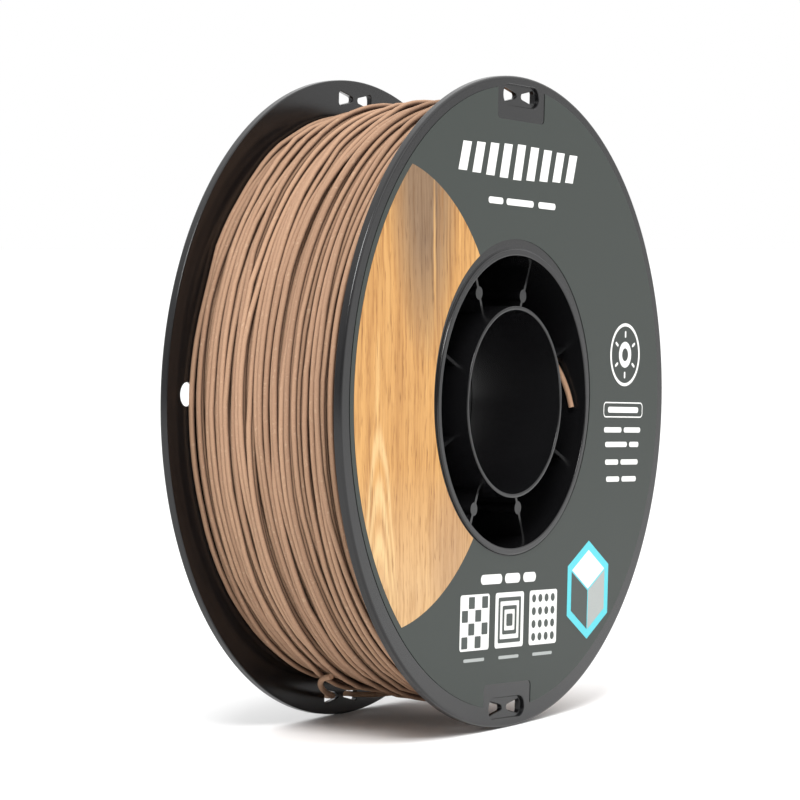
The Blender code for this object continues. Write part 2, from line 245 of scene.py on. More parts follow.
def wood_print():
    """A printed oak board: upright grain and pores, brown above, pale below, nested arches."""
    n = Nodes("wood_print")
    place = n.add("ShaderNodeTexCoord").outputs["Object"]
    apart = n.add("ShaderNodeSeparateXYZ", {"Vector": place})
    z = apart.outputs["Z"]
    sway = n.noise(n.coords((14.0, 1.0, 20.0)), 1.0, 3.0)
    x = n.math("MULTIPLY_ADD", sway, 0.0055, apart.outputs["X"])
    along = n.add("ShaderNodeCombineXYZ", {"X": x, "Z": z}).outputs[0]

    def stretched(wide, tall, detail=3.0, rough=0.55):
        scaled = n.add("ShaderNodeMapping", {"Vector": along, "Scale": (wide, 1.0, tall)})
        return n.noise(scaled.outputs["Vector"], 1.0, detail, rough)

    def spot(cx, cz, rx, rz):
        """1 in the middle of an upright oval and 0 outside it, in millimetres."""
        u = n.math("MULTIPLY_ADD", x, 1000 / rx, -cx / rx)
        v = n.math("MULTIPLY_ADD", z, 1000 / rz, -cz / rz)
        square = n.math("ADD", n.math("MULTIPLY", u, u), n.math("MULTIPLY", v, v))
        return n.math("SUBTRACT", 1.0, square, clamp=True)

    def times(*values):
        out = values[0]
        for value in values[1:]:
            out = n.math("MULTIPLY", out, value)
        return out

    streak = stretched(190.0, 9.0, 5.0, 0.65)
    fibres = stretched(620.0, 42.0, 4.0, 0.7)
    lines = stretched(900.0, 14.0, 3.0, 0.65)
    pores = stretched(1250.0, 105.0, 2.0, 0.6)
    broad = stretched(38.0, 7.0, 2.0)
    tones = [(0.28, (0.35, 0.165, 0.045)), (0.42, (0.45, 0.230, 0.069))]
    tones += [(0.55, (0.52, 0.280, 0.089)), (0.74, (0.58, 0.340, 0.122))]
    base = n.ramp(n.math("MULTIPLY_ADD", n.math("SUBTRACT", fibres, 0.5), 0.45, streak), tones)
    warm = n.math("MULTIPLY_ADD", broad, 1.2, -0.42, clamp=True)
    base = n.mix(warm, base, (0.40, 0.195, 0.056, 1))
    # Brown upper part, paler and greyer lower part, brown streaks low on the right.
    brown = n.math("MULTIPLY_ADD", broad, 0.8, 0.35)
    brown = n.math("MULTIPLY_ADD", fibres, 2.4, n.math("SUBTRACT", brown, 0.95))
    brown = n.math("MULTIPLY_ADD", streak, 1.2, n.math("SUBTRACT", brown, 0.5), clamp=True)
    base = n.mix(times(spot(-51, 70, 21, 58), brown, 1.15), base, (0.200, 0.122, 0.066, 1))
    low = n.math("MULTIPLY_ADD", z, -28.0, -0.45, clamp=True)
    base = n.mix(times(low, 0.6), base, (0.56, 0.38, 0.205, 1))
    base = n.mix(times(spot(-34, -44, 16, 30), streak, 1.1), base, (0.33, 0.19, 0.10, 1))
    # Nested arches that open downwards.
    u = n.math("MULTIPLY_ADD", x, 1000.0, 76.5)
    bend = n.math("MULTIPLY", n.math("MULTIPLY", u, u), 0.50)
    rise = n.math("ADD", n.math("MULTIPLY_ADD", z, 1000.0, -6.0), bend)
    rise = n.math("MULTIPLY_ADD", stretched(160.0, 14.0), 7.0, rise)
    rings = n.math("MULTIPLY_ADD", n.math("SINE", n.math("MULTIPLY", rise, 0.42)), 0.5, 0.5)
    inside = n.math("MULTIPLY_ADD", rise, -0.09, 0.2, clamp=True)
    base = n.mix(times(rings, inside, spot(-76, -30, 15, 46), 0.85), base, (0.64, 0.445, 0.215, 1))
    base = n.mix(times(spot(-45.6, 46, 0.8, 30), 0.6), base, (0.66, 0.38, 0.13, 1))
    base = n.mix(times(spot(-77.8, 8, 1.5, 18), 0.6), base, (0.64, 0.41, 0.17, 1))
    fine = n.ramp(lines, [(0.36, (1, 1, 1)), (0.52, (0, 0, 0))])
    deeper = n.math("MULTIPLY_ADD", spot(-50, 60, 40, 48), 0.35, 0.32)
    base = n.mix(times(fine, deeper, 1.2), base, (0.66, 0.58, 0.46, 1), "MULTIPLY")
    dark_fibres = n.ramp(fibres, [(0.30, (1, 1, 1)), (0.50, (0, 0, 0))])
    base = n.mix(times(dark_fibres, 0.85), base, (0.66, 0.56, 0.42, 1), "MULTIPLY")
    dots = n.ramp(pores, [(0.32, (1, 1, 1)), (0.42, (0, 0, 0))])
    base = n.mix(times(dots, 0.75), base, (0.50, 0.40, 0.30, 1), "MULTIPLY")
    normal = n.bump(lines, 0.04, 0.00002)
    return n.finish(Base_Color=base, Roughness=0.5, Normal=normal, Specular_IOR_Level=0.25)


def ink(name, colour, rough=0.5):
    """Screen-printed ink with a faint mottle."""
    n = Nodes(name)
    mottle = n.noise(n.coords(), 1800.0, 2.0, 0.7)
    worn = tuple(c * 0.86 for c in colour)
    base = n.mix(mottle, (*worn, 1), (*colour, 1))
    normal = n.bump(mottle, 0.05, 0.00002)
    return n.finish(Base_Color=base, Roughness=rough, Normal=normal, Specular_IOR_Level=0.25)


# Meshes


def link(name, mesh):
    ob = bpy.data.objects.new(name, mesh)
    bpy.context.scene.collection.objects.link(ob)
    return ob


def from_bmesh(name, bm):
    mesh = bpy.data.meshes.new(name)
    bmesh.ops.recalc_face_normals(bm, faces=bm.faces)
    bm.to_mesh(mesh)
    bm.free()
    return link(name, mesh)


def lathe(name, profile, steps=ROUND_STEPS):
    """A closed (radius, y) outline turned about the Y axis."""
    bm = bmesh.new()
    rings = []
    for k in range(steps):
        a = 2 * np.pi * k / steps
        c, s = np.cos(a), np.sin(a)
        rings.append([bm.verts.new((r * c * MM, y * MM, r * s * MM)) for r, y in profile])
    for ring, after in zip(rings, rings[1:] + rings[:1]):
        for j in range(len(profile)):
            k = (j + 1) % len(profile)
            bm.faces.new((ring[j], ring[k], after[k], after[j]))
    return from_bmesh(name, bm)


def loft(name, sections):
    """Closed prism through [(y, outline of (x, z))]; the outlines have equally many points."""
    bm = bmesh.new()
    rows = [[bm.verts.new((x * MM, y * MM, z * MM)) for x, z in outline] for y, outline in sections]
    for low, high in zip(rows, rows[1:]):
        for j in range(len(low)):
            k = (j + 1) % len(low)
            bm.faces.new((low[j], low[k], high[k], high[j]))
    bm.faces.new(rows[0])
    bm.faces.new(rows[-1])
    return from_bmesh(name, bm)


def prism(name, outline, y0, y1):
    return loft(name, [(y0, outline), (y1, outline)])


def baked(ob):
    """The object with its modifiers made real."""
    graph = bpy.context.evaluated_depsgraph_get()
    mesh = bpy.data.meshes.new_from_object(ob.evaluated_get(graph))
    ob.modifiers.clear()
    ob.data = mesh
    return ob


def boolean(ob, others, operation):
    """Cuts or joins the others in turn, then drops them."""
    for k, other in enumerate(others):
        step = ob.modifiers.new(f"{operation}_{k}", "BOOLEAN")
        step.operation = operation
        step.solver = "EXACT"
        step.object = other
    baked(ob)
    for other in others:
        bpy.data.objects.remove(other, do_unlink=True)
    bm = bmesh.new()
    bm.from_mesh(ob.data)
    bmesh.ops.remove_doubles(bm, verts=bm.verts, dist=2e-7)
    bmesh.ops.dissolve_degenerate(bm, edges=bm.edges, dist=2e-7)
    bm.to_mesh(ob.data)
    bm.free()
    return ob


def smooth(ob, angle=32):
    for poly in ob.data.polygons:
        poly.use_smooth = True
    ob.data.set_sharp_from_angle(angle=np.radians(angle))
    return ob


def dress(ob, mat):
    ob.data.materials.clear()
    ob.data.materials.append(mat)
    return ob


def turned(outline, degrees):
    a = np.radians(degrees)
    c, s = np.cos(a), np.sin(a)
    return [(x * c - z * s, x * s + z * c) for x, z in outline]


def moved(outline, dx, dz):
    return [(x + dx, z + dz) for x, z in outline]


def arc(cx, cz, r, start, end, steps):
    angles = np.radians(np.linspace(start, end, steps + 1))
    return [(cx + r * np.cos(a), cz + r * np.sin(a)) for a in angles]


def circle(cx, cz, r, steps=64):
    return arc(cx, cz, r, 0, 360, steps)[:-1]


def rounded_box(cx, cz, w, h, r, steps=6):
    x, z = w / 2 - r, h / 2 - r
    corners = ((x, z, 0), (-x, z, 90), (-x, -z, 180), (x, -z, 270))
    return [p for px, pz, a in corners for p in arc(cx + px, cz + pz, r, a, a + 90, steps)]


# The two mouldings


def flange_profile():
    """Outline of flange, lip and barrel for a face looking towards +Y.

    A narrow flat margin beside each rounding keeps its shading off the flat faces.
    """
    lip = OPENING_R + LIP_W
    top = FACE_Y + LIP_H
    barrel = BARREL_R
    soft = 0.3
    points = [(OPENING_R, SEAM), (OPENING_R, INNER_Y - 6), (OPENING_R, top - soft - 0.1)]
    points += arc(OPENING_R + soft, top - soft, soft, 180, 90, 4)
    points += [(OPENING_R + soft + 0.1, top), (lip - LIP_ROUND - 0.1, top)]
    points += arc(lip - LIP_ROUND, top - LIP_ROUND, LIP_ROUND, 90, 10, 4)
    points += [(lip + 0.05, FACE_Y + 0.08), (lip + 0.2, FACE_Y), (lip + 0.5, FACE_Y)]
    points += [(RIM_R - RIM_ROUND - 0.4, FACE_Y)]
    points += arc(RIM_R - RIM_ROUND, FACE_Y - RIM_ROUND, RIM_ROUND, 90, 0, 6)
    points += [(RIM_R, FACE_Y - RIM_ROUND - 0.1), (RIM_R, INNER_Y + RIM_INNER_ROUND + 0.1)]
    points += arc(RIM_R - RIM_INNER_ROUND, INNER_Y + RIM_INNER_ROUND, RIM_INNER_ROUND, 0, -90, 4)
    points += [(RIM_R - RIM_INNER_ROUND - 0.3, INNER_Y), (barrel + BARREL_FILLET + 0.3, INNER_Y)]
    points += arc(barrel + BARREL_FILLET, INNER_Y - BARREL_FILLET, BARREL_FILLET, 90, 180, 4)
    points += [(barrel, SEAM)]
    return points


def tube_profile():
    wall, end, soft = TUBE_R + TUBE_WALL, TUBE_END_Y, 0.25
    points = [(TUBE_R, SEAM), (TUBE_R, end - 4), (TUBE_R, end - soft - 0.1)]
    points += arc(TUBE_R + soft, end - soft, soft, 180, 90, 3)
    points += arc(wall - soft, end - soft, soft, 90, 0, 3)
    points += [(wall, end - soft - 0.1), (wall, SEAM)]
    return points


def slot_outline(end, grow):
    """One slot of a top pair, narrow towards its partner. grow widens it all round."""
    near, far = SLOT_NEAR + SLOT_NARROW / 2, SLOT_FAR - SLOT_CORNER
    wide = SLOT_WIDE / 2 - SLOT_CORNER
    outline = arc(near, SLOT_R, SLOT_NARROW / 2 + grow, 100, 260, 10)
    outline += arc(far, SLOT_R - wide, SLOT_CORNER + grow, 275, 360, 7)
    outline += arc(far, SLOT_R + wide, SLOT_CORNER + grow, 0, 85, 7)
    return [(end * x, z) for x, z in outline][::end]


def through_levels(floor):
    """(y, how much wider) up a hole from the inner face to a recess's floor, edges softened."""
    levels = [(INNER_Y - 1, 1 + EDGE), (INNER_Y, EDGE), (INNER_Y + EDGE, 0)]
    return levels + [(floor - EDGE, 0), (floor, EDGE), (floor + 0.3, EDGE)]


def recess_levels(floor):
    """(y, how much wider) up a recess from its floor to the outer face, edge softened."""
    return [(floor, 0), (FACE_Y - EDGE, 0), (FACE_Y, EDGE), (FACE_Y + 1, 1 + EDGE)]


def slot_cutters(side):
    """Pockets and through slots, top and bottom, for one flange. side is +1 at the rear."""
    made = []
    floor = FACE_Y - POCKET_DEEP
    for half_turn in (0, 180):
        place = TURN + half_turn

        def pocket(grow):
            w, h = POCKET_LEN + 2 * grow, POCKET_H + 2 * grow
            r = POCKET_H / 2 - 0.01 + grow
            return turned(rounded_box(0, SLOT_R, w, h, r, 10), place)

        made.append(loft("pocket", [(side * y, pocket(g)) for y, g in recess_levels(floor)]))
        for end in (-1, 1):
            levels = through_levels(floor)
            sections = [(side * y, turned(slot_outline(end, g), place)) for y, g in levels]
            made.append(loft("slot", sections))
    return made


def hole_cutters():
    """The round hole near the rear flange's edge, and the recess round it."""
    a = np.radians(180 + TURN)
    cx, cz = ROUND_HOLE_R * np.cos(a), ROUND_HOLE_R * np.sin(a)

    def hole(grow):
        return circle(cx, cz, ROUND_HOLE_D / 2 + grow, 48)

    floor = FACE_Y - ROUND_HOLE_DEEP
    wider = (ROUND_HOLE_SPOT_D - ROUND_HOLE_D) / 2
    return [
        loft("hole", [(y, hole(g)) for y, g in through_levels(floor)]),
        loft("sunk_ring", [(y, hole(g + wider)) for y, g in recess_levels(floor)]),
    ]


def moulding(name, side, mat):
    """One half of the spool. side is +1 for the rear half and -1 for the front one."""
    body = lathe(name, [(r, side * y) for r, y in flange_profile()])
    joined = [lathe("tube", [(r, side * y) for r, y in tube_profile()], 192)]
    wall = TUBE_R + TUBE_WALL
    for k in range(RIBS):
        angle = TURN + (k + 0.5) * 360 / RIBS
        r0, r1, t = wall - 0.5, OPENING_R + 0.5, RIB_T / 2
        blade = turned([(r0, -t), (r1, -t), (r1, t), (r0, t)], angle)
        joined.append(prism("rib", blade, side * SEAM, side * RIB_TOP_Y))
        if k in PAD_RIBS:
            pad = turned(circle(PAD_R, 0, PAD_D / 2, 40), angle)
            joined.append(prism("pad", pad, side * SEAM, side * RIB_TOP_Y))
    boolean(body, joined, "UNION")
    cutters = slot_cutters(side)
    if side > 0:
        cutters += hole_cutters()
    else:
        cutters.append(tail_drill())
    boolean(body, cutters, "DIFFERENCE")
    dress(smooth(body), mat)
    return body


def tail_drill():
    bm = bmesh.new()
    r = TAIL_HOLE_D / 2 * MM
    bmesh.ops.create_cone(bm, cap_ends=True, segments=32, radius1=r, radius2=r, depth=8 * MM)
    ob = from_bmesh("tail_drill", bm)
    a = np.radians(TAIL_ANGLE)
    way = Vector((np.cos(a), 0.0, np.sin(a)))
    lay = way.to_track_quat("Z", "Y").to_matrix().to_4x4()
    middle = way * (OPENING_R + 1) * MM + Vector((0, TAIL_Y * MM, 0))
    ob.data.transform(Matrix.Translation(middle) @ lay)
    return ob


# The winding

STATIONS = 240  # points in one turn
GRID = 0.0875  # cell of the height map across the winding
LAYERS, TURNS_A_LAYER, KEPT_TURNS = 4, 29, 104
WIND_PARTS, TURN_SIDES = 4, 12
WIND_REAR, WIND_FRONT = 89.0, 91.4  # outer radius at the flanges
WIND_RISE = 2.2  # how far the crown stands above the line between them
WIND_END = (24.5, 3.0, -90.6)  # where the last turn leaves the winding
WIND_MEAN_R = 88.0
WIND_STEP = 2 * np.pi * WIND_MEAN_R / STATIONS
GUIDE_TRAVEL = (1.8, 2.15)  # least and most that the guide moves in a turn
STRAY_CHANCE, STRAY_WIDTH, STRAY_STATIONS = 0.0004, 4.5, (40, 120)
FALL_CELLS, HILL_WIDTH = 3, 3.2  # how far to each side a groove and a hill are felt
FALL_PULL, HILL_PULL = 0.022, 0.035  # how strongly they turn the strand
AIM_LENGTH, EASE_LENGTH = 45, 28  # strand in which it heads for the guide and eases its slope
STEEPEST = 0.027
BRIDGE = 24  # stations of the turn before that a turn rests on
JOIN = 26  # stations in which the last turn rises to the free end
HILL_WAVES, HILL_DEGREE = 7, 8  # how broad a hill must be, round and across, to be levelled
LAST_TURN = ((0, -2.0), (0.29, -5.5), (0.43, -9.0), (0.52, -6.5), (0.75, -3.0), (1, 3.0))
TUBE_SIDES = 16  # of the two free ends


def crown(y, half):
    """Outer radius of the winding at a distance y from the mid-plane."""
    ends = np.interp(y, (-half, half), (WIND_FRONT, WIND_REAR))
    return ends + WIND_RISE * (1 - (y / half) ** 2)


def taut(radius, bend):
    """The lowest radii a taut strand can take over the given ones: it bridges dips by chords."""
    s = np.arange(len(radius)) * WIND_STEP
    g = radius - s**2 / (2 * bend)
    keep = []
    for k in range(len(g)):
        while len(keep) > 1:
            i, j = keep[-2], keep[-1]
            if (g[j] - g[i]) * (k - i) > (g[k] - g[i]) * (j - i):
                break
            keep.pop()
        keep.append(k)
    return np.interp(np.arange(len(g)), keep, g[keep]) + s**2 / (2 * bend)


def winding_path():
    """Lays the strand from a guide that runs to and fro, on a drum whose grooves hold it back.

    Returns one (y, r) pair of arrays for each turn, outermost last, in millimetres.
    """
    rng = np.random.default_rng(11)
    half = INNER_Y - STRAND_R - 0.06
    ys = np.arange(-half, half + GRID, GRID)
    cells, rows = len(ys), np.arange(STATIONS)
    ground = crown(ys, half)
    height = np.tile(ground, (STATIONS, 1))
    reach = int(2 * STRAND_R / GRID)
    offsets = np.arange(-reach, reach + 1)
    dome = np.sqrt(np.maximum((2 * STRAND_R) ** 2 - (offsets * GRID) ** 2, 0))
    near, wide = FALL_CELLS, int(HILL_WIDTH / GRID)
    y = guide = -half + 0.2
    slope, way, wander, stray, stray_left = 0.0, 1, 0.0, 0.0, 0
    laid, tail = [], np.full(BRIDGE, ground[0])
    turns = LAYERS * TURNS_A_LAYER
    for turn in range(turns):
        path = np.empty(STATIONS)
        pace = way * rng.uniform(*GUIDE_TRAVEL) / STATIONS
        last = turn == turns - 1
        for k in range(STATIONS):
            path[k] = y
            guide = min(max(guide + pace, -half), half)
            wander += rng.normal() * 0.03 - wander * 0.012
            if stray_left:
                stray_left -= 1
            elif rng.random() < STRAY_CHANCE:
                stray = rng.uniform(-STRAY_WIDTH, STRAY_WIDTH)
                stray_left = int(rng.uniform(*STRAY_STATIONS))
            else:
                stray *= 0.97
            aim = guide + wander + stray
            if last:
                aim = np.interp(k / STATIONS, *zip(*LAST_TURN))
            at = int(round((y + half) / GRID))
            row = height[k]
            lo, hi = max(at - near, 0), min(at + near, cells - 1)
            fall = (row[hi] - row[lo]) / ((hi - lo) * GRID)
            left, right = slice(max(at - wide, 0), at + 1), slice(at, at + wide + 1)
            rise = (row[right] - ground[right]).mean() - (row[left] - ground[left]).mean()
            hill = rise / HILL_WIDTH
            want = (aim - y) / AIM_LENGTH
            want -= FALL_PULL * min(max(fall, -1), 1)
            want -= HILL_PULL * min(max(hill, -0.5), 0.5)
            want = min(max(want, -STEEPEST), STEEPEST)
            slope += (want - slope) * WIND_STEP / EASE_LENGTH
            y += slope * WIND_STEP
            if abs(y) > half:
                y, slope = float(np.sign(y)) * half, 0.0
        at = np.clip(np.rint((path + half) / GRID).astype(int), 0, cells - 1)
        r = taut(np.concatenate([tail, height[rows, at]]), WIND_MEAN_R)[BRIDGE:]
        tail = r[-BRIDGE:]
        for o, d in zip(offsets, dome):
            cell = at + o
            ok = (cell >= 0) & (cell < cells)
            height[rows[ok], cell[ok]] = np.maximum(height[rows[ok], cell[ok]], r[ok] + d)
        laid.append((path, r))
        if guide * way > half - 0.3:
            way = -way
    # Broad hills and hollows go: the turns there move in or out together, up to the wanted crown.
    waves = np.fft.rfft(height - 2 * STRAND_R, axis=0)
    waves[HILL_WAVES:] = 0
    broad = np.fft.irfft(waves, STATIONS, axis=0)
    fit = np.polynomial.legendre.legfit(ys / half, broad.T, HILL_DEGREE)
    meet = []
    for p, r in laid:
        hill = np.polynomial.legendre.legval(p / half, fit, tensor=False)
        meet.append((p, r + crown(p, half) - STRAND_R - 0.30 - hill))
    return meet


def tube(name, path, across, sides, tones, wound=False):
    """A round tube along a path in metres. across holds one square unit vector per point.

    On a wound strand, the flanks, away from where it points outwards, are marked for the painted
    shade in the material.
    """
    path, across = np.asarray(path), np.asarray(across)
    along = np.gradient(path, axis=0)
    along /= np.linalg.norm(along, axis=1)[:, None]
    side = np.cross(along, across)
    side /= np.linalg.norm(side, axis=1)[:, None]
    across = np.cross(side, along)
    a = 2 * np.pi * np.arange(sides) / sides
    r = STRAND_R * MM
    c, s = np.cos(a)[None, :, None], np.sin(a)[None, :, None]
    points = path[:, None] + r * (c * across[:, None] + s * side[:, None])
    count = len(path)
    grid = np.arange(count * sides).reshape(count, sides)
    quads = np.stack(
        [grid[:-1], np.roll(grid, -1, 1)[:-1], np.roll(grid, -1, 1)[1:], grid[1:]], -1
    ).reshape(-1, 4)
    mesh = bpy.data.meshes.new(name)
    caps = [tuple(grid[0][::-1]), tuple(grid[-1])]
    mesh.from_pydata(points.reshape(-1, 3).tolist(), [], quads.tolist() + caps)
    # How far each point turns from the outward side; the material paints shade by it.
    flanks = np.tile(0.5 - 0.5 * np.cos(a) if wound else 0 * a, count)
    for key, values in (("tone", np.repeat(tones, sides)), ("flank_shade", flanks)):
        layer = mesh.attributes.new(key, "FLOAT", "POINT")
        layer.data.foreach_set("value", values.astype(np.float32))
    mesh.update()
    bm = bmesh.new()
    bm.from_mesh(mesh)
    bmesh.ops.recalc_face_normals(bm, faces=bm.faces)
    bm.to_mesh(mesh)
    bm.free()
    ob = link(name, mesh)
    return smooth(ob, 50)


def winding(mat):
    """The outer turns as real strand in a few pieces. The last turn rises to meet the free end."""
    laid = winding_path()[-KEPT_TURNS:]
    y = np.concatenate([turn[0] for turn in laid])
    r = np.concatenate([turn[1] for turn in laid])
    x_end, y_end, z_end = WIND_END
    near_end = np.clip((np.arange(len(y)) - len(y) + 1 + JOIN) / JOIN, 0, 1)
    rise = near_end**2 * (3 - 2 * near_end)
    y = y + rise * (y_end - y)
    r = r + rise * (np.hypot(x_end, z_end) - r)
    # The turns run clockwise seen from the printed side, and end at WIND_END.
    a = np.arctan2(z_end, x_end) + 2 * np.pi * (len(y) - 1 - np.arange(len(y))) / STATIONS
    out = np.stack([np.cos(a), np.zeros_like(a), np.sin(a)], 1)
    path = (out * r[:, None] + np.stack([0 * y, y, 0 * y], 1)) * MM
    rng = np.random.default_rng(5)
    knots = np.arange(0, KEPT_TURNS + 1, 0.37)
    tones = np.interp(np.arange(len(y)) / STATIONS, knots, rng.normal(0.5, 0.3, len(knots)))
    made = []
    for part in range(WIND_PARTS):
        start = part * len(y) // WIND_PARTS
        stop = min((part + 1) * len(y) // WIND_PARTS + 1, len(y))
        piece = slice(start, stop)
        tone = np.clip(tones[piece], 0, 1)
        name = f"filament_turns_{part + 1}"
        ob = tube(name, path[piece], out[piece], TURN_SIDES, tone, wound=True)
        made.append(dress(ob, mat))
    return made


def winding_core(mat):
    """The buried turns, as one ring."""
    half = INNER_Y - 0.4
    ring = [(BARREL_R + 0.3, half - 1.0), (BARREL_R + 1.3, half)]
    ring += [(crown(y, half) - 4.6, y) for y in np.linspace(half, -half, 25)]
    ring += [(BARREL_R + 1.3, -half), (BARREL_R + 0.3, 1.0 - half)]
    return dress(smooth(lathe("filament_buried_turns", ring, 192)), mat)


def even_path(knots, spacing):
    """Even points along a Catmull-Rom curve through the knots, as in part.py."""
    knots = np.array(knots, float)
    padded = np.vstack([2 * knots[0] - knots[1], knots, 2 * knots[-1] - knots[-2]])
    dense = []
    for a, b, c, d in zip(padded, padded[1:], padded[2:], padded[3:]):
        for t in np.linspace(0, 1, 24, endpoint=False):
            square, cube = 2 * a - 5 * b + 4 * c - d, 3 * b - a - 3 * c + d
            dense.append(0.5 * (2 * b + (c - a) * t + square * t**2 + cube * t**3))
    dense.append(knots[-1])
    dense = np.array(dense)
    run = np.concatenate([[0], np.cumsum(np.linalg.norm(np.diff(dense, axis=0), axis=1))])
    at = np.linspace(0, run[-1], max(int(round(run[-1] / spacing)), 4) + 1)
    return np.stack([np.interp(at, run, dense[:, k]) for k in range(3)], 1)


def strand_end(name, knots, mat, spacing=0.6):
    """A loose end of the strand, whose section never twists. Returns it and its path."""
    path = even_path(knots, spacing) * MM
    along = np.gradient(path, axis=0)
    along /= np.linalg.norm(along, axis=1)[:, None]
    across = [np.cross(along[0], (0.3, 0.2, 0.93))]
    across[0] /= np.linalg.norm(across[0])
    for way in along[1:]:
        square = across[-1] - way * (across[-1] @ way)
        across.append(square / np.linalg.norm(square))
    tones = np.full(len(path), 0.55)
    ob = tube(name, path, np.array(across), TUBE_SIDES, tones)
    return dress(ob, mat), path


def slot_middle(side):
    reach = (SLOT_NEAR + SLOT_FAR) / 2 + 0.4
    return turned([(side * reach, -SLOT_R)], TURN)[0]


def below(along, out, inwards):
    """A point near the lower slots: along and out from their circle, inwards of the rear face."""
    angle, r = along / SLOT_R, SLOT_R + out
    return (r * np.sin(angle), FACE_Y - inwards, -r * np.cos(angle))


def on_wall(degrees, clear, inwards):
    """A point in the front pocket: clear of its wall, and inwards of the front face."""
    angle, r = np.radians(degrees), OPENING_R - clear
    return (r * np.cos(angle), inwards - FACE_Y, r * np.sin(angle))


# The printed label

LABEL_Y = -FACE_Y - LABEL_GAP  # inner side of the film
PRINT_T = 0.03
PANEL_INSET, PANEL_CENTRE, PANEL_R = 2.1, (-77.9, 1.2), 69.3  # the wood print's two circles


def label_piece(name, outline, mat, layer=1, cuts=()):
    """A thin printed shape lying on the film, given in the label's own upright axes."""
    y = LABEL_Y - LABEL_T - 0.01 - (layer - 1) * (PRINT_T + 0.01)
    ob = prism(name, turned(outline, TURN), y - PRINT_T, y)
    if cuts:
        boolean(ob, [prism("cut", turned(cut, TURN), y - 1, y + 1) for cut in cuts], "DIFFERENCE")
    return dress(ob, mat)


def label(mat):
    cx, cz = LABEL_CENTRE
    film = prism("label_film", circle(cx, cz, LABEL_R, 360), LABEL_Y - LABEL_T, LABEL_Y)
    cuts = [prism("hole", circle(cx, cz, LABEL_HOLE_R, 256), LABEL_Y - 2, LABEL_Y + 2)]
    for half_turn in (0, 180):
        tall = 2 * (SLOT_R - NOTCH_IN + 8)
        notch = rounded_box(0, NOTCH_IN + tall / 2, NOTCH_W, tall, NOTCH_ROUND, 8)
        cuts.append(prism("notch", turned(notch, TURN + half_turn), LABEL_Y - 2, LABEL_Y + 2))
    return dress(smooth(boolean(film, cuts, "DIFFERENCE")), mat)


def wood_panel(mat):
    """The wood print: the part of the label inside a second circle, off to the left."""
    cx, cz = turned([LABEL_CENTRE], -TURN)[0]
    y = LABEL_Y - LABEL_T - 0.01
    panel = prism("wood_print_panel", circle(cx, cz, LABEL_R - PANEL_INSET, 360), y - PRINT_T, y)
    keep = prism("keep", circle(*PANEL_CENTRE, PANEL_R, 256), y - 1, y + 1)
    boolean(panel, [keep], "INTERSECT")
    hole = prism("hole", circle(cx, cz, LABEL_HOLE_R + 0.02, 256), y - 1, y + 1)
    boolean(panel, [hole], "DIFFERENCE")
    panel.data.transform(Matrix.Rotation(np.radians(-TURN), 4, "Y"))
    return dress(panel, mat)


def slanted(x, z, w, h, lean):
    return [(x, z), (x + w, z), (x + w + lean, z + h), (x + lean, z + h)]


def bar(x, z, w, h):
    """A rounded bar, centred."""
    return rounded_box(x, z, w, h, h / 2 - 0.01, 5)


